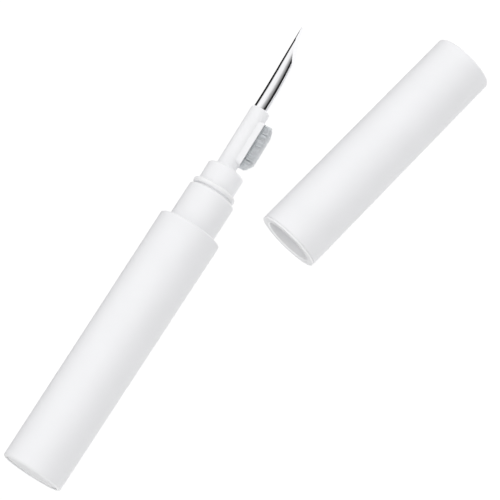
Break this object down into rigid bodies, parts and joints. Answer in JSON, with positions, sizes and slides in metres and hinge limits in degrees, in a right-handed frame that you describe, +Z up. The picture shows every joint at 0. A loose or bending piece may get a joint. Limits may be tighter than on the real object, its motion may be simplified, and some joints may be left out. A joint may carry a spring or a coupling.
{
  "type": "pocket cleaning pen",
  "caption": "Pocket cleaning pen lying open: round barrel, pull-out core with polished pick, side brush and flocked sponge, and pull-off cap.",
  "frame": {"origin": "on the table, under the middle of the bounding box of the pen and its cap as they lie", "axes": "+X along the pen from the barrel's foot to the pick's point, +Z up from the table, cap on the -Y side"},
  "size_m": [0.1344, 0.0474, 0.0155],
  "materials": {
    "white_shell": "satin moulded",
    "white_sleeve": "smooth moulded",
    "white_core": "satin moulded",
    "seal": "milky silicone",
    "polished_steel": "polished stainless steel",
    "bristle": "fine nylon filament",
    "anchor_wire": "bright wire",
    "foam": "open-cell foam",
    "flock": "short velvet flock"
  },
  "bodies": {
    "barrel": {"barrel_shell": "white_shell", "barrel_sleeve": "white_sleeve", "barrel_end_plug": "white_shell"},
    "core": {"core_body": "white_core", "front_seal_ring": "seal", "rear_seal_ring": "seal", "tool_holder": "white_core", "metal_tip": "polished_steel", "brush_strip": "white_sleeve", "brush_tufts": "bristle", "brush_anchors": "anchor_wire", "sponge_holder": "white_core", "sponge_foam": "foam", "flock_cover": "flock"},
    "cap": {"cap_shell": "white_shell", "cap_liner": "white_sleeve"}
  },
  "joints": [
    {"name": "core_slide", "type": "slide", "parent": "barrel", "child": "core", "axis": [1, 0, 0], "range_m": [0, 0.079]},
    {"name": "cap_swing", "type": "hinge", "parent": "barrel", "child": "cap", "pos_m": [-0.05631, 0.34551, 0.00775], "axis": [0, 0, 1], "range_deg": [0, 11.72]}
  ]
}
